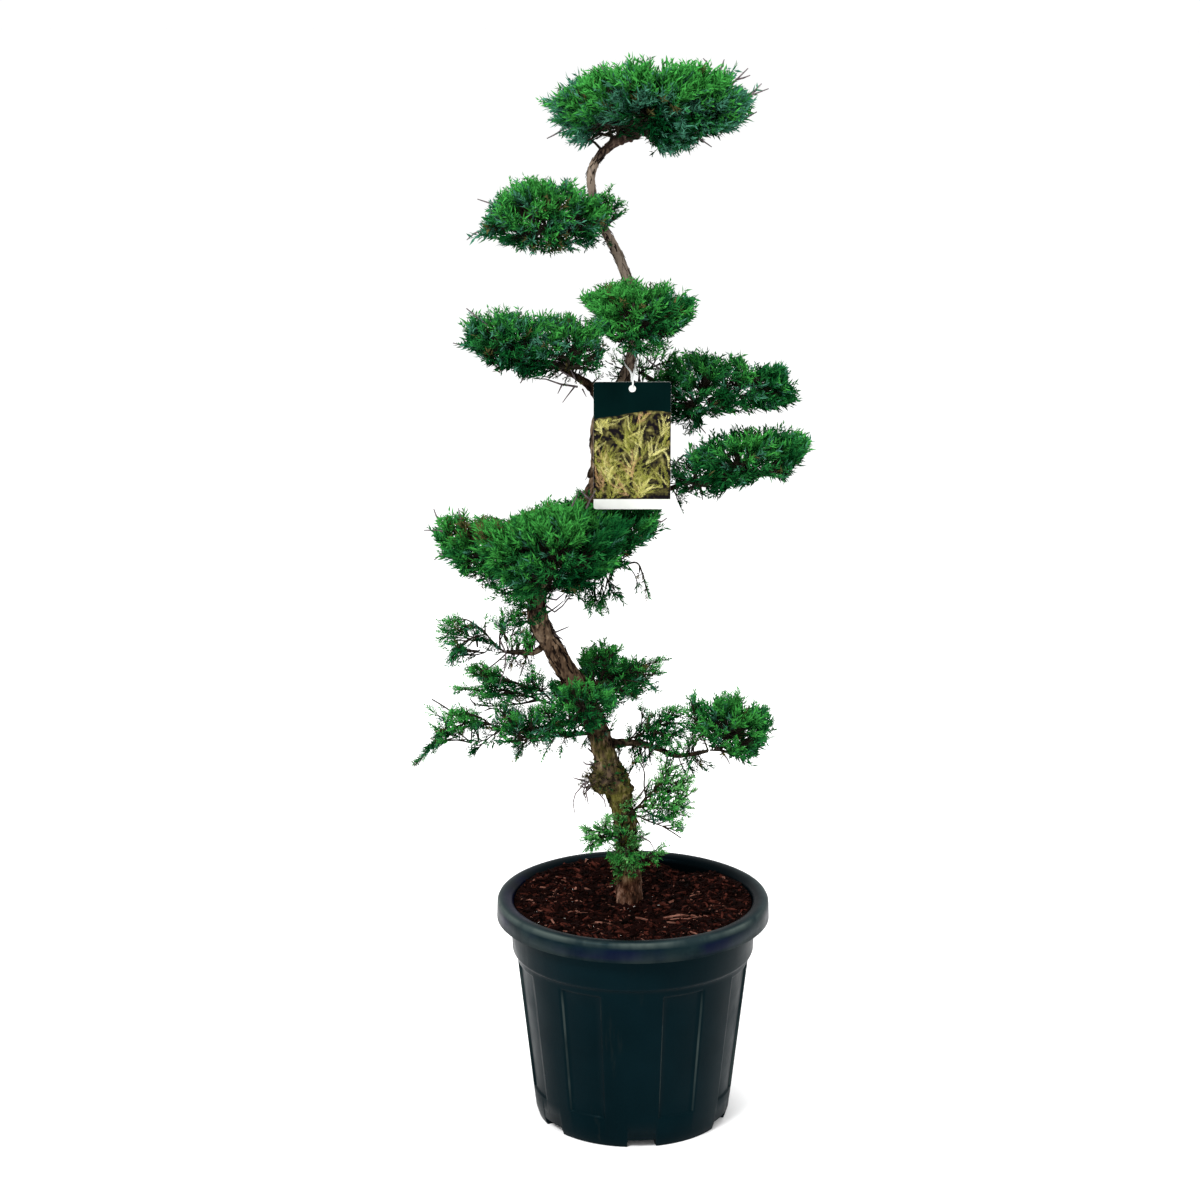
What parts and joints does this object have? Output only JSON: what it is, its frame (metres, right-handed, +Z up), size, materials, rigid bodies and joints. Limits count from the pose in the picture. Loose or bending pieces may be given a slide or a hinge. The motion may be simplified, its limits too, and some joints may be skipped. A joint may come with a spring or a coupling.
{
  "type": "potted juniper",
  "caption": "Cloud-pruned juniper with a winding trunk, layered pads of foliage and looser low sprays, in a round plastic nursery pot of bark soil, with a plant tag on a loop.",
  "frame": {"origin": "middle of the flat underside of the pot", "axes": "+Z up the plant, -Y towards the front with the tag, +X to the right seen from the front"},
  "size_m": [0.5145, 0.3612, 1.3935],
  "materials": {
    "pot_plastic": "dark blue-green moulded plastic with a soft sheen",
    "bark_soil": "loose dark reddish-brown bark soil",
    "bark": "rough flaking grey-brown bark",
    "foliage": "scale-leaved evergreen sprays in deep and bright greens",
    "tag_card": "printed plastic card with a dark head and a leafy print",
    "loop_plastic": "thin white plastic loop"
  },
  "bodies": {
    "root": {"pot": "pot_plastic", "soil": "bark_soil", "trunk": "bark", "bough_upper_left": "bark", "bough_mid_left": "bark", "bough_mid_right": "bark", "bough_lower_right": "bark", "bough_big_left": "bark", "bough_big_right": "bark", "bough_small_left": "bark", "bough_long_left": "bark", "bough_small_right": "bark", "bough_right": "bark", "foliage_top": "foliage", "foliage_upper_left": "foliage", "foliage_upper_wisp": "foliage", "foliage_upper_centre": "foliage", "foliage_upper_back": "foliage", "foliage_mid_left": "foliage", "foliage_mid_right": "foliage", "foliage_lower_right": "foliage", "foliage_big_left": "foliage", "foliage_big_front": "foliage", "foliage_big_right": "foliage", "foliage_big_back": "foliage", "foliage_big_hanging": "foliage", "foliage_small_left": "foliage", "foliage_long_left_upper": "foliage", "foliage_long_left": "foliage", "foliage_trunk_tuft": "foliage", "foliage_low_back": "foliage", "foliage_small_right": "foliage", "foliage_right_pad": "foliage", "foliage_right_inner": "foliage", "foliage_base_right": "foliage", "foliage_base_front": "foliage", "plant_tag": "tag_card", "tag_loop": "loop_plastic"}
  },
  "joints": []
}
